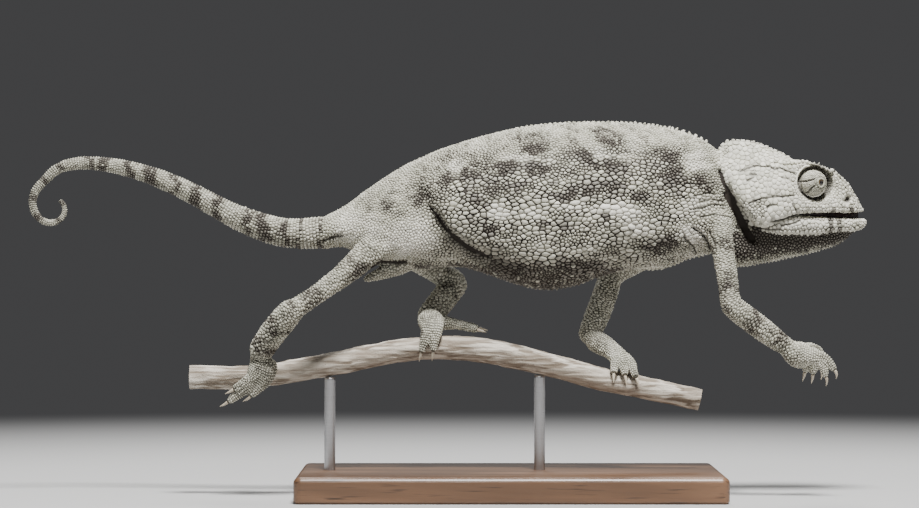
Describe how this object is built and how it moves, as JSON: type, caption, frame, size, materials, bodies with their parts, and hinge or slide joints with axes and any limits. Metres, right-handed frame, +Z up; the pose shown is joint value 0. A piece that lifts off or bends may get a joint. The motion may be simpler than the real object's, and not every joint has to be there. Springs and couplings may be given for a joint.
{
  "type": "chameleon model",
  "caption": "Life-size common chameleon walking along a cut branch with a forefoot raised, held by thin rods on a flat wooden base.",
  "frame": {"origin": "centre of the wooden base's underside", "axes": "+X towards the snout, +Y towards the animal's left side, +Z up"},
  "size_m": [0.2261, 0.07, 0.1011],
  "materials": {
    "scaly_skin": "matt granular scales, pale grey-green with darker bands and blotches",
    "claw_horn": "smooth horn, darker towards the tips",
    "eye": "wet, glossy, dark pupil in a narrow bronze ring",
    "mouth_lining": "moist, dark between the lips",
    "bark": "thin pale bark with lengthwise streaks, bare wood at the cut ends",
    "walnut": "satin-waxed dark walnut",
    "steel": "brushed rod"
  },
  "bodies": {
    "root": {"pelvis": "scaly_skin", "trunk": "scaly_skin", "neck": "scaly_skin", "head": "scaly_skin", "right_eye_turret": "scaly_skin", "left_eye_turret": "scaly_skin", "lower_jaw": "scaly_skin", "throat_pouch": "scaly_skin", "tail_base": "scaly_skin", "tail_middle": "scaly_skin", "tail_end": "scaly_skin", "tail_curl": "scaly_skin", "right_fore_upper_leg": "scaly_skin", "right_fore_lower_leg": "scaly_skin", "right_fore_outer_toes": "scaly_skin", "right_fore_inner_toes": "scaly_skin", "right_hind_upper_leg": "scaly_skin", "right_hind_lower_leg": "scaly_skin", "right_hind_outer_toes": "scaly_skin", "right_hind_inner_toes": "scaly_skin", "left_fore_upper_leg": "scaly_skin", "left_fore_lower_leg": "scaly_skin", "left_fore_outer_toes": "scaly_skin", "left_fore_inner_toes": "scaly_skin", "left_hind_upper_leg": "scaly_skin", "left_hind_lower_leg": "scaly_skin", "left_hind_outer_toes": "scaly_skin", "left_hind_inner_toes": "scaly_skin", "right_eye": "eye", "left_eye": "eye", "perch_branch": "bark", "stand_rod_rear": "steel", "stand_rod_front": "steel", "stand_base": "walnut"}
  },
  "joints": []
}
